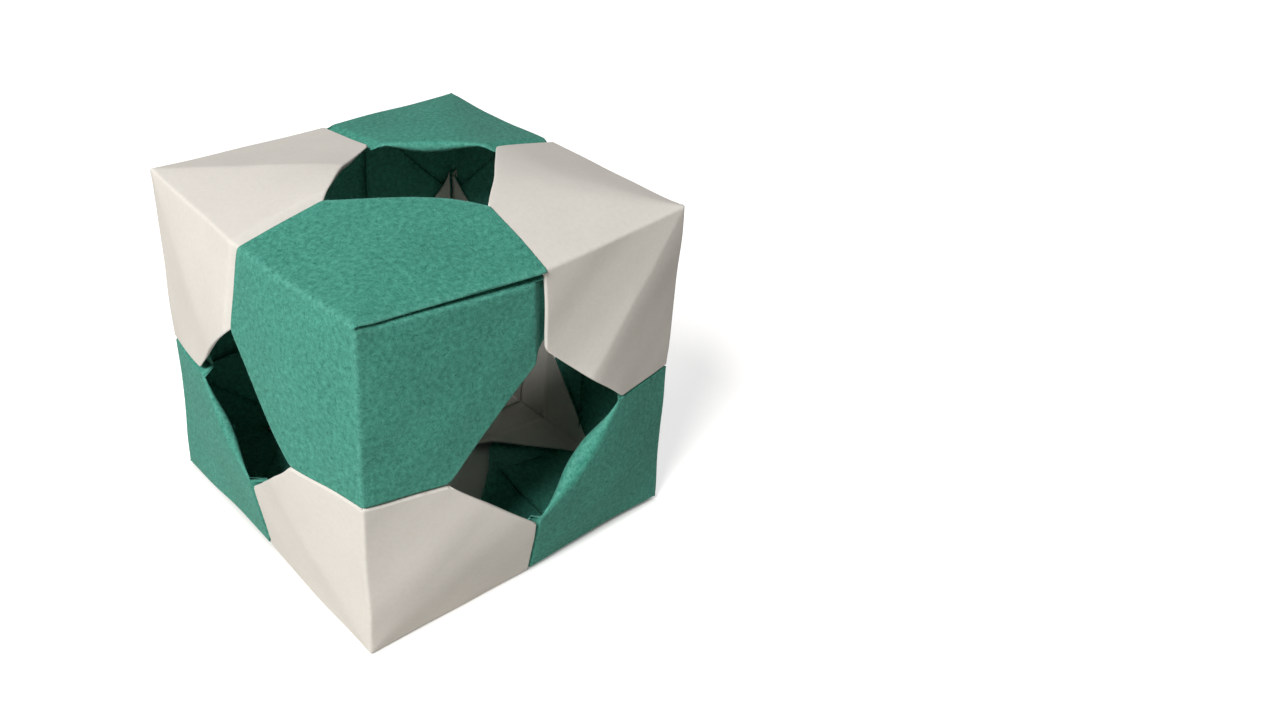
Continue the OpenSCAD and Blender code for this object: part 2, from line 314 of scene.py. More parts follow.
# %% Where each unit stands and how it holds its neighbours
# axes names the cube's edges that the unit's own first, second and third edges follow. The rim is
# the radius of its rolled rims half way along, and the slit is the slit's width at its open end.
# creases says, for each face, over how many millimetres it bends along its diagonal, and arches
# how far the middle of its rim stands out, when a window corner stands out by 1.
# dives gives a steep drop where the photo shows a dark gap at a joint: where it starts before the
# joint, its length and its depth.
UNITS = {
    "green_corner_top_front": dict(
        corner=(0, 0, 1), axes="xzy", tucks="x", rim=0.55, slit=1.15, laps=True,
        dives={"x": (2.0, 2.0, 1.6)}, creases=(3.5, 3, 3), arches=(1.45, 1.1, 1.2)),
    "green_corner_top_back": dict(
        corner=(1, 1, 1), axes="xzy", tucks="xy", rim=1.1, slit=0.3,
        dives={}, creases=(2.5, 2, 2), arches=(1.22, 1.2, 1.2)),
    "green_corner_bottom_left": dict(
        corner=(0, 1, 0), axes="yxz", tucks="yz", rim=0.9, slit=0.3,
        dives={"y": (1.0, 0.3, 2.6), "z": (0.8, 0.3, 2.2)}, creases=(2, 2.5, 2),
        arches=(1.2, 1.15, 1.2)),
    "green_corner_bottom_right": dict(
        corner=(1, 0, 0), axes="zyx", tucks="zx", rim=1.9, slit=0.3,
        dives={"z": (0.4, 0.4, 1.6), "x": (0.5, 0.4, 1.8)}, creases=(3, 3, 2), arches=(1.1, 1.2, 1.2)),
    "cream_corner_top_left": dict(
        corner=(0, 1, 1), axes="zxy", tucks="y", rim=0.5, slit=0.3,
        dives={}, creases=(1.5, 0.3, 1), arches=(1.3, 1.32, 1.2)),
    "cream_corner_top_right": dict(
        corner=(1, 0, 1), axes="yzx", tucks="", rim=0.4, slit=0.3,
        dives={}, creases=(4, 0.25, 1), arches=(1.2, 1.5, 1.2)),
    "cream_corner_bottom_front": dict(
        corner=(0, 0, 0), axes="xyz", tucks="z", rim=0.45, slit=0.3,
        dives={"z": (0.4, 0.25, 2.0)}, creases=(7, 1.5, 1), arches=(1.15, 1.25, 1.2)),
    "cream_corner_bottom_back": dict(
        corner=(1, 1, 0), axes="zxy", tucks="xyz", rim=0.5, slit=0.3,
        dives={}, creases=(1, 1, 1), arches=(1.2, 1.2, 1.2)),
}
print(sum(len(unit["tucks"]) for unit in UNITS.values()), "tucked tips, one for each edge of the cube")

# %% The tips of one quarter
# The first and second edge that bound each quarter, as places in a unit's axes
QUARTER_EDGES = ((0, 2), (2, 1), (1, 0))


def fold_tips(quarter, a, b, depth, unit):
    """Turns in or tucks the tips at both ends of a face."""
    edge_a, edge_b = (unit["axes"][i] for i in QUARTER_EDGES[quarter])
    if quarter == 0 and unit.get("laps"):
        a, depth = turn_tip(a, depth, radius=LAP_RADIUS, lap=LAP, lift=LAP_LIFT)
    elif edge_a in unit["tucks"]:
        a, depth = tuck_tip(a, depth, unit["dives"].get(edge_a))
    else:
        a, depth = turn_tip(a, depth)
    if edge_b in unit["tucks"]:
        b, depth = tuck_tip(b, depth, unit["dives"].get(edge_b))
    else:
        b, depth = turn_tip(b, depth)
    return a, b, depth


def quarter_of(flat):
    """Which quarter a point is in. Points on the slit's two edges belong to the faces beside it."""
    x, y = flat.T
    on_crease = 1e-4
    return np.where(y >= -on_crease, np.where(x >= -on_crease, 0, 1), np.where(x < on_crease, 2, 3))


print("the sheet's four quarters:", quarter_of(np.array([[1, 1], [-1, 1], [-1, -1], [1, -1]])))

# %% [markdown]
# ## Three faces and a pleat
# A flat sheet has four quarters, but a cube's corner has only three faces. The fourth quarter is
# folded on its diagonal, like a gusset, and lies behind the upper face, so the slit that it leaves
# runs along one edge of the cube. It is folded here and not left out, because its layers show in
# the slit and through the windows. All four quarters share one frame, the unit's own, whose first
# edge is the one with the slit.

# %% The quarters
TOP_LAYER = 0.3
# The face below the slit is pressed in over this width
PRESSED_WIDTH = 15
# The pleat's layers lie closer together than the others
PLEAT_PRESS = 0.4


def slit_shape(x, gap):
    """Half thickness of the folded layer above the slit, and where the layer below it lies."""
    half_top = 0.02 + TOP_LAYER * smooth(-1, 5, x)
    return half_top, 2 * half_top + gap * smooth(-JOIN / 2, JOIN, x)


def upper_panel(u, v, depth, unit, radius):
    """The face above the slit. It turns right under itself along the slit's edge."""
    a, b, d = fold_tips(0, u, v, depth, unit)
    half_top, _ = slit_shape(a, unit["slit"])
    quarter_turn = np.pi * half_top / 2
    angle = np.pi / 2 * np.clip(1 - b / quarter_turn, 0, 1)
    arm = np.maximum(half_top - d, 0)
    p = round_corner(a, np.full_like(b, SIDE), d, radius)
    turned = angle > 0
    # A tucked tip's slit edge draws in from the neighbour's other face too
    tucked = unit["axes"][0] in unit["tucks"] and not unit.get("laps")
    drawn_in = (d - depth).clip(0) * np.clip(1 - b / EDGE_FADE, 0, 1) ** 2 * tucked
    return np.stack([
        p[:, 0],
        p[:, 2] + np.where(turned, half_top - arm * np.cos(angle) - d, 0),
        np.where(turned, half_top - arm * np.sin(angle), b - quarter_turn + half_top) + drawn_in,
    ], -1)


def side_panel(u, v, depth, unit, radius):
    """The face that the slit doesn't touch."""
    a, b, d = fold_tips(1, u, v, depth, unit)
    return round_corner(a, b, d, radius)[:, [2, 1, 0]]


def lower_panel(u, v, depth, unit, radius):
    """The face below the slit. Its edge along the slit is pressed in a little."""
    a, b, d = fold_tips(2, u, v, depth, unit)
    place = round_corner(a, b, d, radius)[:, [1, 0, 2]]
    place[:, 1] += slit_shape(b, unit["slit"])[1] * np.clip(1 - a / PRESSED_WIDTH, 0, 1) ** 2
    return place


def pleat(u, v, depth, unit, radius):
    """The quarter that is folded on its diagonal and lies behind the upper panel."""
    near_top = v > u
    a = np.where(near_top, v, u)
    b = np.where(near_top, u, v)
    d = depth * PLEAT_PRESS
    half_top, below = slit_shape(a, unit["slit"])
    quarter_turn = np.pi * half_top / 2
    angle = np.pi / 2 * np.clip(1 + b / quarter_turn, 1, 2)
    arm = half_top - np.minimum(d, half_top)
    upper_z = np.where(angle < np.pi, half_top - arm * np.sin(angle), b - quarter_turn + half_top)
    upper_y = np.where(angle < np.pi, half_top - arm * np.cos(angle), 2 * half_top - d)
    lower = round_corner(np.full_like(b, SIDE), b, d, radius)
    return np.stack([
        a,
        np.where(near_top, upper_y, below + lower[:, 2]),
        np.where(near_top, upper_z, lower[:, 1]),
    ], -1)


print(f"two layers above a slit are {2 * slit_shape(JOIN, 0.3)[0]:.2f} mm thick")

# %% One sheet, folded
QUARTERS = (upper_panel, side_panel, lower_panel, pleat)


def fold_sheet(flat, unit, radius):
    """Folds the flat points into a unit, with its cube corner at the origin."""
    x, y = flat.T
    quarter = quarter_of(flat)
    us = np.choose(quarter, [x, y, -x, -y])
    vs = np.choose(quarter, [y, -x, -y, x])
    u, v, depth = fold_corners(us, vs, unit["rim"])
    folded = np.zeros((len(flat), 3))
    for q, place in enumerate(QUARTERS):
        here = quarter == q
        folded[here] = place(u[here], v[here], depth[here], unit, radius)
    return folded


example = fold_sheet(flat_square(TIGHT_RIM)[0], UNITS["cream_corner_top_right"], EDGE_RADIUS["cream"])
print("a folded unit measures", np.round(np.ptp(example, axis=0), 1), "mm along its edges")

# %% [markdown]
# ## A handmade cube is never true
# The photo shows how far this one strays from a true cube. Its faces puff outwards by one to
# nearly five millimetres round the windows, because every joint holds several springy layers, and
# its corners and edges wander by up to two. The sheets are bent together by one smooth field in
# the cube's own space, so neighbours still meet.
#
# The numbers in the next cell were not read off the photo one by one. A separate least-squares
# script made them, to a tenth of a millimetre, from the places of corners, edge middles and window
# corners that were picked in the photo. Only the last three rows of PUFF were not fitted, because
# the photo doesn't show those faces.

# %% Departures from the true cube, in millimetres
# Corners and edge middles: to the right and down, as the camera sees them
VIEW_RIGHT = np.array((0.7231, -0.6867, 0.0752))
VIEW_DOWN = np.cross(np.array(LOOK_ALONG), VIEW_RIGHT)
CORNER_DRIFT = {
    (0, 0, 1): (-0.2, 0.1),
    (0, 1, 1): (0.8, 0.5),
    (1, 1, 1): (-0.9, 0.6),
    (1, 0, 1): (0.8, -0.3),
    (0, 0, 0): (-0.8, 0.3),
    (0, 1, 0): (-0.9, -1.1),
    (1, 0, 0): (0.7, -0.5),
}
EDGE_DRIFT = {
    (0.5, 1, 1): (1.9, -0.2),
    (1, 0.5, 1): (-1.4, -0.7),
    (0, 0.5, 1): (-0.5, 1.3),
    (0.5, 0, 1): (1.3, 1.6),
    (0, 0, 0.5): (0.0, 0.4),
    (0, 1, 0.5): (0.8, 2.0),
    (0, 0.5, 0): (-0.2, -0.8),
    (1, 0, 0.5): (-0.3, 0.4),
    (0.5, 0, 0): (0.4, 0.0),
}
# Window corners of each face, along x, y and z. The first two lie after and before the
# window's middle along the face's first axis, and the last two along its second axis.
PUFF = {
    ("x", 0): ((-2.1, 1.1, 1.5), (-3.7, 0.3, 0.4), (-2.9, 1.2, 1.8), (-2.2, 0.4, 0.4)),
    ("y", 0): ((1.4, -3.3, 1.4), (-1.8, -1.7, -1.3), (0.8, -1.2, 0.8), (-1.4, -4.2, -1.0)),
    ("z", 1): ((0.9, -0.7, 4.3), (-1.4, 0.8, 4.1), (0.3, -0.2, 2.7), (1.1, -0.8, 4.7)),
    ("x", 1): ((2.4, 0, 0), (2.4, 0, 0), (2.4, 0, 0), (2.4, 0, 1.8)),
    ("y", 1): ((0, 2.4, 0),) * 4,
    ("z", 0): ((0, 0, 0.4),) * 4,
}

# %% The bending field: corners and edges
def tent(s, softness=0.03):
    """1 in the middle and 0 at both ends, in two nearly straight halves, as a joint bends an edge."""
    return (1 + softness - np.sqrt((2 * s - 1) ** 2 + softness ** 2)) / 1.0005


def drift(p):
    """How far the cube's corners and edges wander, at places given as shares of its side."""
    move = np.zeros_like(p)
    for corner, (right, down) in CORNER_DRIFT.items():
        weight = np.prod([p[:, i] if c else 1 - p[:, i] for i, c in enumerate(corner)], axis=0)
        move += weight[:, None] * (right * VIEW_RIGHT + down * VIEW_DOWN)
    for middle, (right, down) in EDGE_DRIFT.items():
        weight = np.ones(len(p))
        for i, c in enumerate(middle):
            weight *= tent(p[:, i]) if c == 0.5 else (p[:, i] if c else 1 - p[:, i])
        move += weight[:, None] * (right * VIEW_RIGHT + down * VIEW_DOWN)
    return move


nearest_corner = drift(np.array([[0.0, 0.0, 1.0]]))[0]
print("the nearest corner wanders by", round(float(np.linalg.norm(nearest_corner)), 2), "mm")

# %% The bending field: faces
# A crease is this soft at the cube's corner, and softer by this share of the distance from it
CRISP_CREASE = 0.02
CREASE_SPREAD = 0.22


def swell(p, axis, side, window_corners, crease, arch):
    """How far one face's panels lean outwards round its window."""
    n = "xyz".index(axis)
    s, t = (np.clip(p[:, i], 0, 1) - 0.5 for i in range(3) if i != n)
    nearness = (p[:, n] if side else 1 - p[:, n]) ** 2
    after, before, over, under = (np.array(c, float) for c in window_corners)
    # A point follows its own edge's window corner on the joint, and both in half on the diagonal
    share = 0.5 + 0.5 * (np.abs(s) - np.abs(t)) / np.maximum(np.abs(s), np.abs(t)).clip(1e-9)
    share, first, second = share[:, None], (s > 0)[:, None], (t > 0)[:, None]
    vector = share * np.where(first, after, before) + (1 - share) * np.where(second, over, under)
    # Outwards it leans as two flat halves that meet in a more or less soft crease
    from_s, from_t = ((0.5 - np.abs(x)) * SIDE for x in (s, t))
    nearest = np.minimum(from_s, from_t)
    softness = np.minimum(crease, CRISP_CREASE + CREASE_SPREAD * nearest.clip(0))
    soft = nearest - softness * np.log1p(np.exp(-np.abs(from_s - from_t) / softness))
    reach = np.minimum(nearest / (SIDE / 4), 1)
    scale = np.tile(reach[:, None], 3)
    # The middle of a rim lies half as far again from the edge as a window corner
    steps = soft / (SIDE / 4)
    scale[:, n] = steps - (1.5 - arch) * np.clip((steps - 0.6) / 0.9, 0, 1.2) ** 2.5
    return nearness[:, None] * scale * vector


# %% The whole field
# Soft waves of the paper itself: their lengths and heights in millimetres
WAVES = ((31, 0.14), (19, 0.08), (11, 0.04))
WAVE_WAYS = np.array([[1, 0.7, -0.4], [-0.5, 1, 0.8], [0.6, -0.9, 1]]) * 2 * np.pi


def bend_cube(points, crease, arch):
    """Moves points of the true cube, in millimetres from its front bottom corner.

    crease is how softly a face bends along its diagonals, and arch how high its rim's middle stands.
    """
    p = points / SIDE
    move = drift(p)
    for (axis, side), window_corners in PUFF.items():
        move += swell(p, axis, side, window_corners, crease, arch)
    for k, (length, height) in enumerate(WAVES):
        move += height * np.sin(points @ WAVE_WAYS / length + 1.7 * k)
    return points + move


low_corner = np.array([[0, SIDE / 2, SIDE / 4]])
print("the left window's lowest corner moves by", bend_cube(low_corner, 1, 1)[0] - low_corner[0], "mm")

# %% [markdown]
# ## From points to paper
# The folded points are one side of the sheet, the side that shows. Solidify gives the paper its
# thickness towards the other side. The flat square's own coordinates become the UV map, so the
# fibres run on round every fold, as in real paper. An attribute holds how near a point is to a
# sharp outer fold, where the colour is paler: partly wear from handling, partly a painted highlight
# on the rounded ridge.

# %% Where a unit stands, and where its folds are worn and painted with a highlight
def own_axes(unit):
    """A unit's three edges as unit vectors that lead away from its cube corner."""
    columns = []
    for axis in unit["axes"]:
        i = "xyz".index(axis)
        e = np.zeros(3)
        e[i] = -1 if unit["corner"][i] else 1
        columns.append(e)
    return np.array(columns)


# Width of the paler band along outer folds: partly wear, partly a painted highlight on the ridge
WEAR_AND_HIGHLIGHT_WIDTH = 0.7


def wear_and_highlight_on_sheet(flat):
    """1 along a cube edge and along a window's rim, fading to 0 a millimetre or two away."""
    u, v = np.abs(flat).T
    edge = np.minimum(u, v)
    rim = np.abs((u + v) / math.sqrt(2) - RIM + 0.3)
    outside = (u + v) / math.sqrt(2) < RIM + 1
    return np.where(outside, np.exp(-((np.minimum(edge, rim) / WEAR_AND_HIGHLIGHT_WIDTH) ** 2)), 0)


# How strong the paler band of wear and painted highlight is near an edge
print("wear at 0, 1 and 2 mm from an edge:", wear_and_highlight_on_sheet(np.array([[9, 0], [9, 1], [9, 2]])).round(2))

# %% Build one paper mesh
# The pleat's tips and flap are pressed in out of sight, so they end short of the joint and the rim.
# Only under the lapped tip does the pleat show, and reach just past the joint.
PLEAT_SHORT_OF_JOINT = 5
PLEAT_PAST_LAPPED_JOINT = 0.3
PLEAT_SHORT_OF_RIM = 2.5


def paper_mesh(name, unit):
    """A unit's sheet as a mesh without thickness, with its UV map and its band of wear and painted
    highlight.
    """
    colour = name.split("_")[0]
    flat, triangles = flat_square(unit["rim"])
    folded = fold_sheet(flat, unit, EDGE_RADIUS[colour])
    at = folded @ own_axes(unit) + np.array(unit["corner"]) * SIDE
    crease, arch = (
        np.array(unit[key] + unit[key][:1], float)[quarter_of(flat)] for key in ("creases", "arches")
    )
    at = bend_cube(at, crease, arch) - np.array((JOIN, JOIN, 0))
    centre = flat[triangles].mean(1)
    in_pleat = (quarter_of(flat)[triangles] == 3).any(1)
    past_joint = PLEAT_PAST_LAPPED_JOINT if unit.get("laps") else -PLEAT_SHORT_OF_JOINT
    hidden = np.abs(centre).max(1) > JOIN + past_joint
    hidden |= np.abs(centre).sum(1) > math.sqrt(2) * (RIM - PLEAT_SHORT_OF_RIM - unit["rim"])
    kept = triangles[~(in_pleat & hidden)]
    mesh = bpy.data.meshes.new(name)
    mesh.from_pydata((at * MM).tolist(), [], kept.tolist())
    uv = mesh.uv_layers.new(name="flat_sheet")
    loops = np.zeros(len(mesh.loops), np.int32)
    mesh.loops.foreach_get("vertex_index", loops)
    uv.data.foreach_set("uv", (flat[loops] / (2 * HALF_SHEET) + 0.5).ravel())
    # Paleness along the folds, partly wear and partly a painted highlight
    wear_and_highlight = mesh.attributes.new("wear_and_highlight", "FLOAT", "POINT")
    wear_and_highlight.data.foreach_set("value", wear_and_highlight_on_sheet(flat))
    mesh.shade_smooth()
    return mesh


# %% Give a sheet its thickness
def thicken(name, mesh):
    """Gives the sheet its thickness, and returns the finished object."""
    rough = bpy.data.objects.new(name + "_sheet", mesh)
    bpy.context.scene.collection.objects.link(rough)
    solidify = rough.modifiers.new("paper_thickness", "SOLIDIFY")
    solidify.thickness = PAPER * MM
    solidify.offset = -1
    depsgraph = bpy.context.evaluated_depsgraph_get()
    solid = bpy.data.meshes.new_from_object(rough.evaluated_get(depsgraph), depsgraph=depsgraph)
    bpy.data.objects.remove(rough)
    solid.name = name
    piece = bpy.data.objects.new(name, solid)
    bpy.context.scene.collection.objects.link(piece)
    return piece


print(f"each sheet is {PAPER} mm thick")

# %% [markdown]
# ## Loose fibres on worn folds
# Along its outer folds the green paper's fibres come loose and give the edges a faint fuzz.
# Fibres repeat by the thousand along a path, which is what Geometry Nodes are for: points are
# scattered over the sheet, more of them where the attribute of wear and painted highlight is high,
# and each gets a thin three-sided spike that lies at a random slant. One tree serves all four green
# sheets.

# %% Colour and node helpers
def linear(hex_colour):
    """An sRGB hex colour as the linear values that shaders work in."""
    values = [int(hex_colour[i:i + 2], 16) / 255 for i in (1, 3, 5)]
    return [v / 12.92 if v <= 0.04045 else ((v + 0.055) / 1.055) ** 2.4 for v in values] + [1]


def add(tree, kind, links=(), **settings):
    """Adds a node. Settings name its properties or, with numbers for a socket's place, its inputs."""
    node = tree.nodes.new(kind)
    for key, value in settings.items():
        if key.startswith("in_"):
            place = key[3:]
            socket = node.inputs[int(place)] if place.isdigit() else node.inputs[place.replace("_", " ")]
            socket.default_value = value
        else:
            setattr(node, key, value)
    for source, target in links:
        tree.links.new(source, node.inputs[target])
    return node


print("mid grey in linear values:", [round(v, 3) for v in linear("#808080")])

# %% A tree that scatters fibres
FIBRE_LENGTH = 0.55
FIBRE_WIDTH = 0.05
FIBRES_PER_SQUARE_MM = 2.5


def fibre_tree(material):
    """A tree that covers the worn places of a mesh with fibres of this material."""
    tree = bpy.data.node_groups.new("loose_fibres", "GeometryNodeTree")
    tree.interface.new_socket("Geometry", in_out="INPUT", socket_type="NodeSocketGeometry")
    for label in ("Fibre Length", "Fibre Width", "Density"):
        tree.interface.new_socket(label, in_out="INPUT", socket_type="NodeSocketFloat")
    tree.interface.new_socket("Seed", in_out="INPUT", socket_type="NodeSocketInt")
    tree.interface.new_socket("Geometry", in_out="OUTPUT", socket_type="NodeSocketGeometry")
    given = add(tree, "NodeGroupInput").outputs
    wear_and_highlight = add(tree, "GeometryNodeInputNamedAttribute", data_type="FLOAT", in_Name="wear_and_highlight")
    sharp = add(tree, "ShaderNodeMath", [(wear_and_highlight.outputs["Attribute"], 0)], operation="POWER", in_1=2.0)
    density = add(
        tree, "ShaderNodeMath",
        [(sharp.outputs[0], 0), (given["Density"], 1)], operation="MULTIPLY",
    ).outputs[0]
    points = add(
        tree, "GeometryNodeDistributePointsOnFaces",
        [(given["Geometry"], "Mesh"), (density, "Density"), (given["Seed"], "Seed")],
    ).outputs
    fibre = add(
        tree, "GeometryNodeMeshCone",
        [(given["Fibre Width"], "Radius Bottom"), (given["Fibre Length"], "Depth")],
        in_Vertices=3, in_Side_Segments=1, in_Radius_Top=0.0,
    ).outputs["Mesh"]
    slant = add(
        tree, "FunctionNodeRandomValue", [(given["Seed"], "Seed")], data_type="FLOAT_VECTOR",
        in_0=(-1.3, -1.3, 0.0), in_1=(1.3, 1.3, 6.3),
    ).outputs[0]
    turned = add(
        tree, "FunctionNodeRotateEuler",
        [(points["Rotation"], 0), (slant, 1)], rotation_type="EULER", space="LOCAL",
    ).outputs[0]
    size = add(
        tree, "FunctionNodeRandomValue", [(given["Seed"], "Seed")],
        data_type="FLOAT", in_2=0.4, in_3=1.0,
    ).outputs[1]
    placed = add(
        tree, "GeometryNodeInstanceOnPoints",
        [(points["Points"], "Points"), (fibre, "Instance"), (turned, "Rotation"), (size, "Scale")],
    ).outputs[0]
    real = add(tree, "GeometryNodeRealizeInstances", [(placed, 0)]).outputs[0]
    coloured = add(tree, "GeometryNodeSetMaterial", [(real, "Geometry")], in_Material=material)
    add(tree, "NodeGroupOutput", [(coloured.outputs[0], 0)])
    return tree


print(f"fibres up to {FIBRE_LENGTH} mm long, up to {FIBRES_PER_SQUARE_MM} on a square millimetre")

# %% Grow the fibres on a sheet
def grow_fibres(name, sheet, tree, seed):
    """Scatters fibres over a sheet, and returns them as one plain mesh object."""
    holder = bpy.data.objects.new(name + "_holder", sheet)
    bpy.context.scene.collection.objects.link(holder)
    modifier = holder.modifiers.new("fibres", "NODES")
    modifier.node_group = tree
    values = {
        "Fibre Length": FIBRE_LENGTH * MM, "Fibre Width": FIBRE_WIDTH / 2 * MM,
        "Density": FIBRES_PER_SQUARE_MM / MM ** 2, "Seed": seed,
    }
    for item in tree.interface.items_tree:
        if item.in_out == "INPUT" and item.name in values:
            modifier[item.identifier] = values[item.name]
    depsgraph = bpy.context.evaluated_depsgraph_get()
    mesh = bpy.data.meshes.new_from_object(holder.evaluated_get(depsgraph), depsgraph=depsgraph)
    bpy.data.objects.remove(holder)
    mesh.name = name
    fibres = bpy.data.objects.new(name, mesh)
    bpy.context.scene.collection.objects.link(fibres)
    return fibres


# %% [markdown]
# ## The two papers
# The green is coloured construction paper: soft, thick and full of short fibres that took the
# dye unevenly, so it is flecked lighter and darker and its surface is rough. The cream is a
# smooth uncoated paper with a faint mottle. Neither has any gloss. Both patterns are noise on
# the flat sheet's own coordinates, scaled by real sizes in millimetres.

# %% Pattern sizes, in millimetres
SHEET_MM = 2 * HALF_SHEET
# Soft patches from the pulp, its grain, and single fibres drawn a little coarser than they are
PATCH_SIZE = 9
GRAIN_SIZE = 1.0
FLECK_LENGTH = 1.2
FLECK_WIDTH = 0.26
RELIEF_HEIGHT = 0.12


def scale_for(size_mm):
    """Noise scale on the sheet's UV map that gives features of about this size."""
    return SHEET_MM / size_mm


print("noise scales on the sheet:", scale_for(PATCH_SIZE), "and", scale_for(GRAIN_SIZE))

# %% The paper material
def fleck_mask(tree, uv, length_mm, width_mm, angle, low, high):
    """Short fibres that lie one way: noise drawn out along their length, and cut to its peaks."""
    turned = add(tree, "ShaderNodeMapping", [(uv, 0)], vector_type="TEXTURE")
    turned.inputs["Rotation"].default_value = (0, 0, math.radians(angle))
    turned.inputs["Scale"].default_value = (length_mm / SHEET_MM, width_mm / SHEET_MM, 1)
    noise = add(
        tree, "ShaderNodeTexNoise", [(turned.outputs[0], "Vector")],
        in_Scale=1.0, in_Detail=2.0, in_Distortion=0.3,
    )
    return add(
        tree, "ShaderNodeMapRange", [(noise.outputs["Fac"], 0)],
        in_1=low, in_2=high, in_3=0.0, in_4=1.0,
    ).outputs[0]


def paper_material(name, base, dark, light, wear_and_highlight_colour, fleck, mottle, patches, roughness, relief, fuzz):
    """Paper with grain, flecks and patches on its flat sheet, and paler along its folds from wear and a
    painted highlight.
    """
    material = bpy.data.materials.new(name)
    material.use_nodes = True
    tree = material.node_tree
    shader = tree.nodes["Principled BSDF"]
    uv = add(tree, "ShaderNodeUVMap", uv_map="flat_sheet").outputs[0]
    cloud = add(
        tree, "ShaderNodeTexNoise", [(uv, "Vector")],
        in_Scale=scale_for(PATCH_SIZE), in_Detail=4.0,
    ).outputs["Fac"]
    grain = add(
        tree, "ShaderNodeTexNoise", [(uv, "Vector")],
        in_Scale=scale_for(GRAIN_SIZE), in_Detail=6.0, in_Roughness=0.75,
    ).outputs["Fac"]
    tone = add(
        tree, "ShaderNodeMapRange", [(grain, 0)],
        in_1=0.3, in_2=0.7, in_3=0.0, in_4=1.0,
    ).outputs[0]
    colour = add(
        tree, "ShaderNodeMix", [(tone, 0)], data_type="RGBA",
        in_6=linear(dark), in_7=linear(light),
    ).outputs[2]
    colour = add(
        tree, "ShaderNodeMix", [(colour, 7)], data_type="RGBA",
        in_0=mottle, in_6=linear(base),
    ).outputs[2]
    # Flecks lie in five ways. The dark ones are stronger than the light ones.
    height = grain
    flecks = ((20, dark, 1), (98, dark, 1), (152, light, 0.5), (61, dark, 0.8), (125, light, 0.5))
    for angle, tint, share in flecks:
        mask = fleck_mask(tree, uv, FLECK_LENGTH, FLECK_WIDTH, angle, 0.6, 0.76)
        amount = add(
            tree, "ShaderNodeMath", [(mask, 0)],
            operation="MULTIPLY", in_1=fleck * share,
        ).outputs[0]
        colour = add(
            tree, "ShaderNodeMix", [(amount, 0), (colour, 6)], data_type="RGBA", in_7=linear(tint),
        ).outputs[2]
        height = add(
            tree, "ShaderNodeMath", [(mask, 0), (height, 2)],
            operation="MULTIPLY_ADD", in_1=0.35,
        ).outputs[0]
    shade = add(
        tree, "ShaderNodeMapRange", [(cloud, 0)],
        in_1=0.3, in_2=0.7, in_3=1 - patches, in_4=1 + patches,
    )
    colour = add(
        tree, "ShaderNodeVectorMath", [(colour, 0), (shade.outputs[0], 3)], operation="SCALE",
    ).outputs[0]
    # Paler along the outer folds: partly wear, partly a painted highlight on the rounded ridges
    wear_and_highlight = add(tree, "ShaderNodeAttribute", attribute_name="wear_and_highlight").outputs["Fac"]
    rubbed_and_highlit = add(tree, "ShaderNodeMath", [(wear_and_highlight, 0), (tone, 1)], operation="MULTIPLY").outputs[0]
    rubbed_and_highlit = add(tree, "ShaderNodeMath", [(rubbed_and_highlit, 0)], operation="MULTIPLY", in_1=0.3).outputs[0]
    colour = add(
        tree, "ShaderNodeMix", [(rubbed_and_highlit, 0), (colour, 6)], data_type="RGBA", in_7=linear(wear_and_highlight_colour),
    ).outputs[2]
    bump = add(
        tree, "ShaderNodeBump", [(height, "Height")],
        in_Strength=relief, in_Distance=RELIEF_HEIGHT * MM,
    )
    tree.links.new(colour, shader.inputs["Base Color"])
    tree.links.new(bump.outputs[0], shader.inputs["Normal"])
    shader.inputs["Roughness"].default_value = roughness
    shader.inputs["Specular IOR Level"].default_value = 0.25
    shader.inputs["Sheen Weight"].default_value = fuzz
    shader.inputs["Sheen Roughness"].default_value = 0.6
    return material


# %% Make the two papers
# Construction paper is soft pulp dyed right through: rough, flecked and without any gloss
green_paper = paper_material(
    "construction_paper_green", base="#358F7A", dark="#14564A", light="#62B19D", wear_and_highlight_colour="#7CC0B0",
    fleck=0.85, mottle=0.6, patches=0.06, roughness=0.92, relief=0.5, fuzz=0.05,
)
# Uncoated paper is pressed smoother: even, nearly plain, with a trace of mottle
cream_paper = paper_material(
    "uncoated_paper_cream", base="#D8D3CB", dark="#CCC5BB", light="#E0DBD4", wear_and_highlight_colour="#E4DFD8",
    fleck=0.12, mottle=0.35, patches=0.02, roughness=0.85, relief=0.15, fuzz=0.0,
)
# Loose fibres catch more light than the sheet, and have no pattern of their own
loose_fibre = bpy.data.materials.new("loose_paper_fibre_green")
loose_fibre.use_nodes = True
fibre_shader = loose_fibre.node_tree.nodes["Principled BSDF"]
fibre_shader.inputs["Base Color"].default_value = linear("#5FAE9C")
fibre_shader.inputs["Roughness"].default_value = 0.95
fibres_on_folds = fibre_tree(loose_fibre)
print("papers:", green_paper.name, "and", cream_paper.name)

# %% [markdown]
# ## Making the eight units
# Each unit is one real sheet, so each becomes one object that stands in for its CAD solid. Its
# loose fibres ride on the same body as a second mesh, because they lie on the sheet and are no
# part of its surface. Everything rides on the root, because a paper cube has no moving parts.

# %% Fold, thicken and colour them
for name, unit in UNITS.items():
    sheet = paper_mesh(name, unit)
    piece = thicken(name + "_folded", sheet)
    paper = green_paper if name.startswith("green") else cream_paper
    piece.data.materials.clear()
    piece.data.materials.append(paper)
    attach(piece, "root")
    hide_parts(name)
    if name.startswith("green"):
        # The name's length is a fixed seed that differs from unit to unit
        fibres = grow_fibres(name + "_fibres", sheet, fibres_on_folds, len(name))
        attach(fibres, "root")
    print(name, len(piece.data.polygons), "faces")

# %% [markdown]
# ## Floor and light
# The cube stands on a plain pale surface under soft light. One big lamp at the front left, above
# the cube, makes the left face the brightest, the top a little less, and the right face shaded.
# The floor is lifted to white only where the camera sees it, and only outside the cube's own
# footprint, so the ground seen through the windows stays dark and a soft shadow stays round it.
# Where the lift fades in, just round the footprint, it paints a band of shade round the cube's foot.

# %% Floor
FLOOR_HALF = 3.0
# The lift to white, in light that only the camera sees, and where it fades in round the footprint, which
# paints a band of shade round the cube's foot
WHITE_LIFT = 0.72
FADE_START = JOIN - 2
FADE_END = JOIN + 3

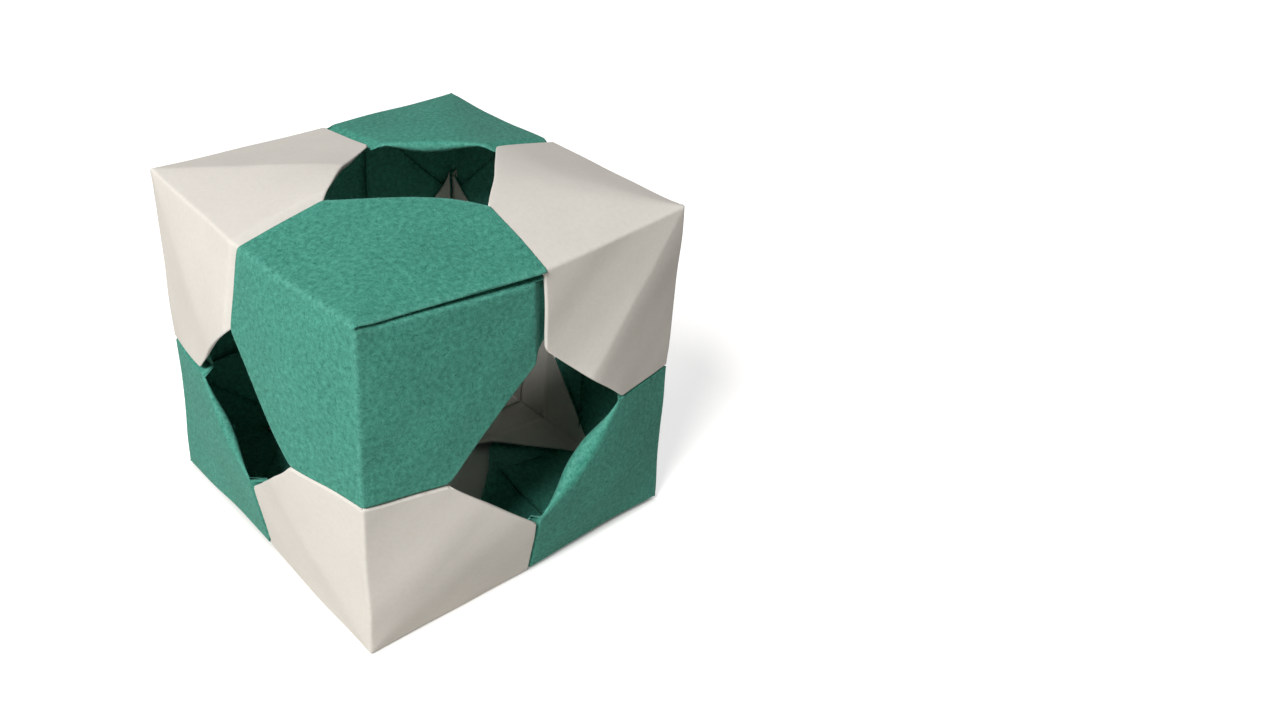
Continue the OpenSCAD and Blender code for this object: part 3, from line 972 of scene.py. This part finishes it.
visual_low, visual_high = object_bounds()
floor_z = min(visual_low.z, 0) - 0.05 * MM
ways = ((-1, -1), (1, -1), (1, 1), (-1, 1))
floor_corners = [(x * FLOOR_HALF, y * FLOOR_HALF, floor_z) for x, y in ways]
floor_mesh = bpy.data.meshes.new("floor")
floor_mesh.from_pydata(floor_corners, [], [(0, 1, 2, 3)])
floor = bpy.data.objects.new("floor", floor_mesh)
bpy.context.scene.collection.objects.link(floor)
floor_material = bpy.data.materials.new("plain_white_floor")
floor_material.use_nodes = True
tree = floor_material.node_tree
floor_shader = tree.nodes["Principled BSDF"]
place = add(tree, "ShaderNodeTexCoord").outputs["Object"]
apart = add(tree, "ShaderNodeSeparateXYZ", [(place, 0)]).outputs
across_x, across_y = (
    add(tree, "ShaderNodeMath", [(apart[i], 0)], operation="ABSOLUTE").outputs[0] for i in (0, 1)
)
furthest = add(tree, "ShaderNodeMath", [(across_x, 0), (across_y, 1)], operation="MAXIMUM").outputs[0]
# Less lift under and just round the footprint: painted shade round the cube's foot
outside = add(
    tree, "ShaderNodeMapRange", [(furthest, 0)], interpolation_type="SMOOTHSTEP",
    in_1=FADE_START * MM, in_2=FADE_END * MM, in_3=0.0, in_4=WHITE_LIFT,
).outputs[0]
seen = add(tree, "ShaderNodeLightPath").outputs["Is Camera Ray"]
lift = add(tree, "ShaderNodeMath", [(seen, 0), (outside, 1)], operation="MULTIPLY").outputs[0]
floor_shader.inputs["Base Color"].default_value = linear("#DCDAD6")
floor_shader.inputs["Roughness"].default_value = 1.0
floor_shader.inputs["Specular IOR Level"].default_value = 0.0
floor_shader.inputs["Emission Color"].default_value = (1, 1, 1, 1)
tree.links.new(lift, floor_shader.inputs["Emission Strength"])
floor_mesh.materials.append(floor_material)
print("the floor lies", round(-floor_z / MM, 2), "mm below the CAD's resting face")

# %% World
# The world's light on the object. The camera itself sees it white.
AMBIENT = 0.09
world = bpy.data.worlds.new("studio")
bpy.context.scene.world = world
world.use_nodes = True
tree = world.node_tree
background = tree.nodes["Background"]
seen = add(tree, "ShaderNodeLightPath").outputs["Is Camera Ray"]
strength = add(
    tree, "ShaderNodeMapRange", [(seen, 0)],
    in_1=0.0, in_2=1.0, in_3=AMBIENT, in_4=1.0,
).outputs[0]
background.inputs["Color"].default_value = (1, 1, 1, 1)
tree.links.new(strength, background.inputs["Strength"])
print("the world lights the cube at", AMBIENT)

# %% Lamp
def area_lamp(name, way, distance, level, size):
    """A round lamp that gives a white sheet facing it this level of light at the cube."""
    data = bpy.data.lights.new(name, "AREA")
    data.energy = level * math.pi ** 2 * distance ** 2
    data.shape = "DISK"
    data.size = size
    lamp = bpy.data.objects.new(name, data)
    bpy.context.scene.collection.objects.link(lamp)
    way = Vector(way).normalized()
    lamp.location = Vector((0, 0, JOIN * MM)) + way * distance
    lamp.rotation_euler = way.to_track_quat("Z", "Y").to_euler()
    print(name, "gives", round(data.energy, 1), "W from", distance, "m")


area_lamp("key_from_front_left", (-0.64, -0.25, 0.74), distance=1.2, level=1.18, size=0.45)
bpy.context.scene.view_settings.view_transform = "Standard"
